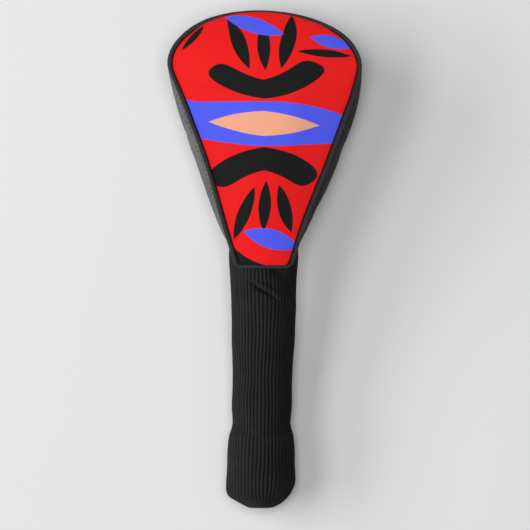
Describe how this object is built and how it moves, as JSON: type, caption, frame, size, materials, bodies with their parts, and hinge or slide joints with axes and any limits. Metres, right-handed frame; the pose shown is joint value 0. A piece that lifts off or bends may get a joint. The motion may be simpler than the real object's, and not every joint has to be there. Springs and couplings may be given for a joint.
{
  "type": "golf driver head cover",
  "caption": "Padded golf driver head cover: a tapered hood with a printed crown panel, dark side panels and piping, and a ribbed knit sock with a gathered cuff.",
  "frame": {"origin": "on the surface the cover lies on, under the middle of its bounding box", "axes": "+Y runs along the cover from the cuff's mouth to the toe end of the hood, +Z points out of the crown panel, +X to the right with +Y up"},
  "size_m": [0.1318, 0.34, 0.079],
  "materials": {
    "printed_fabric": "smooth printed microfibre in red, blue, peach and black, slight sheen",
    "black_leather": "black synthetic leather with a fine pebbled grain, satin",
    "foam": "open-cell padding foam, matte",
    "lining_fleece": "short-pile fleece, matte",
    "rib_knit": "ribbed acrylic knit, matte",
    "elastic": "woven elastic, matte",
    "binding_tape": "woven binding tape, matte"
  },
  "bodies": {
    "hood": {"crown_panel": "printed_fabric", "crown_foam": "foam", "crown_lining": "lining_fleece", "crown_piping": "black_leather", "side_panel_left": "black_leather", "side_panel_right": "black_leather", "side_foam_left": "foam", "side_foam_right": "foam", "side_lining_left": "lining_fleece", "side_lining_right": "lining_fleece", "sole_panel": "black_leather", "sole_foam": "foam", "sole_lining": "lining_fleece", "sole_piping": "black_leather", "knit_collar": "rib_knit", "neck_elastic": "elastic", "neck_binding": "binding_tape"},
    "sock": {"knit_neck_bend": "rib_knit", "knit_tube": "rib_knit"},
    "cuff_body": {"knit_cuff_bend": "rib_knit", "cuff": "rib_knit", "cuff_elastic": "elastic"}
  },
  "joints": [
    {"name": "sock_sway", "type": "hinge", "parent": "hood", "child": "sock", "pos_m": [-0.0004, -0.025, 0.0321], "axis": [0, 0, 1], "range_deg": [-45, 45], "deforming": ["knit_neck_bend"]},
    {"name": "cuff_fold", "type": "hinge", "parent": "sock", "child": "cuff_body", "pos_m": [-0.0018, -0.0982, 0.0203], "axis": [-1, 0, 0], "range_deg": [0, 60], "deforming": ["knit_cuff_bend"]}
  ]
}
